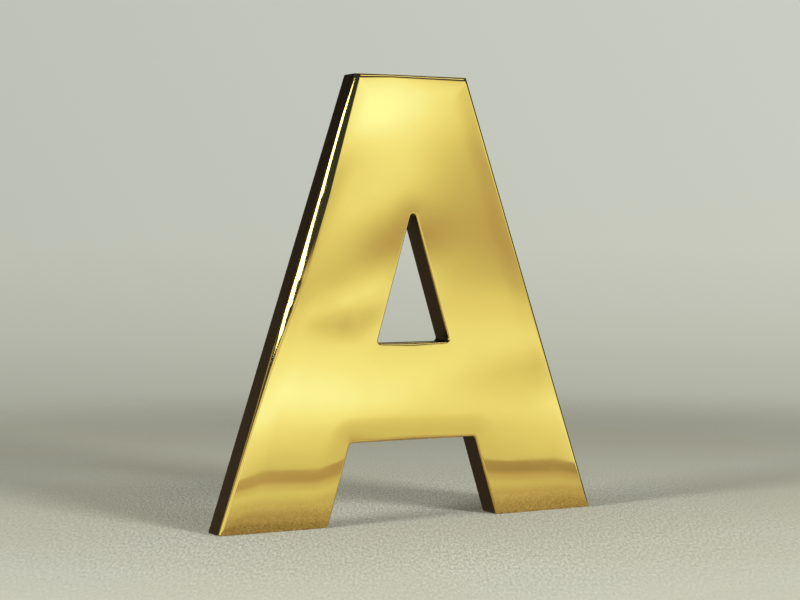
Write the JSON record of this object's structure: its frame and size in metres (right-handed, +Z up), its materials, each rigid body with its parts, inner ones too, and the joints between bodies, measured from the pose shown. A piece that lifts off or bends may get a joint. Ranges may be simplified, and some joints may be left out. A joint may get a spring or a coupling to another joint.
{
  "type": "plate letter",
  "caption": "Free-standing capital letter of thick brass plate with a polished face, rounded front edges, dark sides and threaded studs in its back.",
  "frame": {"origin": "bottom centre of the whole object's box, level with the soles of the two feet", "axes": "-Y out of the polished front face, +Y out of the back along the studs, +Z up the letter, +X to its right as read"},
  "size_m": [0.0972, 0.0184, 0.1016],
  "materials": {
    "brass_letter": "mirror-polished front face and rounded front edge, dark brown oxidised sides, fine brushed back",
    "stud_steel": "bright rolled thread"
  },
  "bodies": {
    "root": {"letter_body": "brass_letter", "top_stud": "stud_steel", "left_leg_stud": "stud_steel", "right_leg_stud": "stud_steel"}
  },
  "joints": []
}
